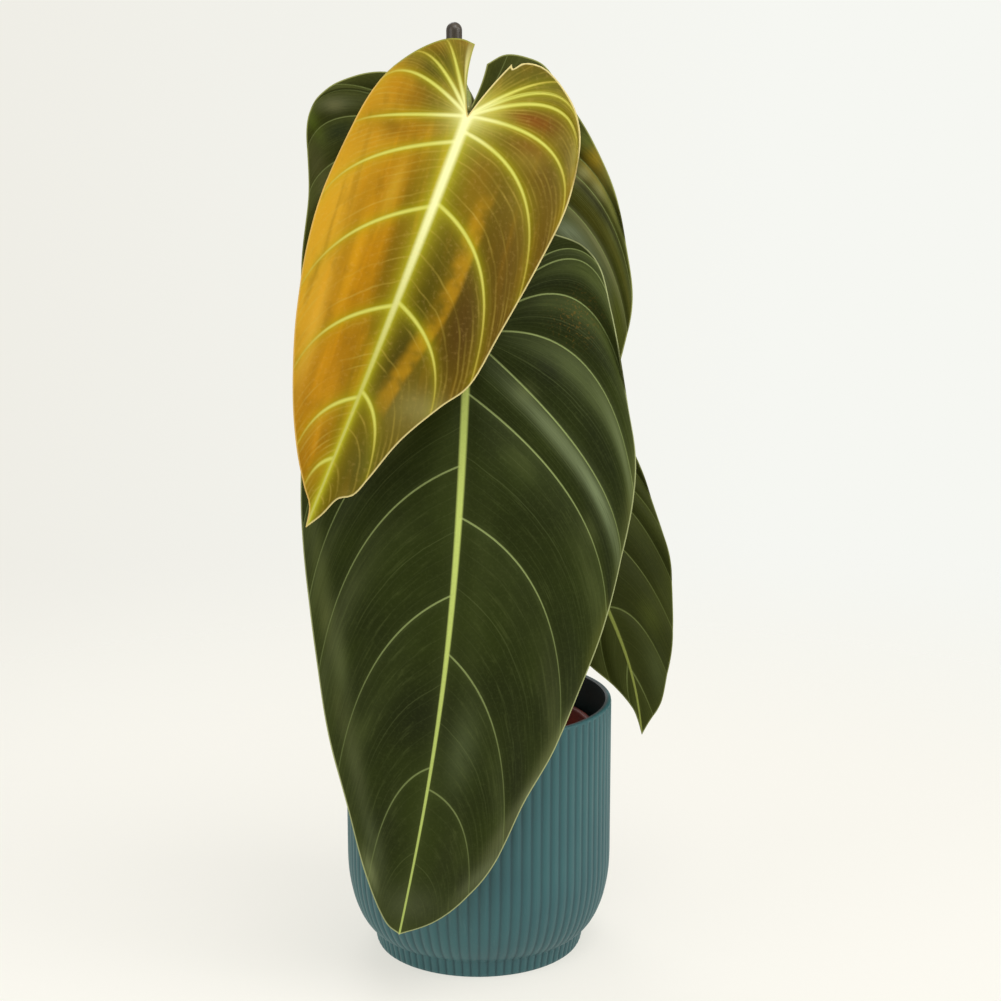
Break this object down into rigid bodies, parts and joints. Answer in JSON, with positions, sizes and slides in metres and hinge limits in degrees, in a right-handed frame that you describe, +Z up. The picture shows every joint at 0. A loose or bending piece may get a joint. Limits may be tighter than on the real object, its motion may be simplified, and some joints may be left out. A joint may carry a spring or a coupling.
{
  "type": "potted philodendron melanochrysum",
  "caption": "Young climbing philodendron with long velvety heart-shaped leaves hanging from a staked stem, in a plastic growing pot inside a ribbed teal cover pot.",
  "frame": {"origin": "centre of the cover pot's flat underside, on the surface it stands on", "axes": "+Z up along the pot's axis; the leaves hang towards -Y, the side the plant is seen from; +X to the viewer's right"},
  "size_m": [0.1924, 0.1973, 0.4792],
  "materials": {
    "teal_pot": "teal ribbed plastic with a soft satin sheen",
    "terracotta_plastic": "thin red-brown moulded plastic",
    "potting_mix": "dark crumbly bark and peat mix",
    "stake_coating": "dark brown plastic coating with a soft highlight",
    "stem_skin": "smooth olive green stem with pale rings",
    "soft_tie": "soft dark green plant tie",
    "petiole_skin": "satin light green stalk",
    "young_blade": "golden orange to olive brown leaf with glowing lime veins and a cream margin",
    "dark_blade": "velvety dark green leaf with a pale lime rib and a thin pale margin"
  },
  "bodies": {
    "root": {"pot": "teal_pot", "nursery_pot": "terracotta_plastic", "soil": "potting_mix", "stake": "stake_coating", "stem": "stem_skin", "tie_lower": "soft_tie", "tie_upper": "soft_tie", "petiole_young": "petiole_skin", "petiole_front": "petiole_skin", "petiole_rear": "petiole_skin", "petiole_side": "petiole_skin", "leaf_young": "young_blade", "leaf_front": "dark_blade", "leaf_rear": "dark_blade", "leaf_side": "dark_blade"}
  },
  "joints": []
}
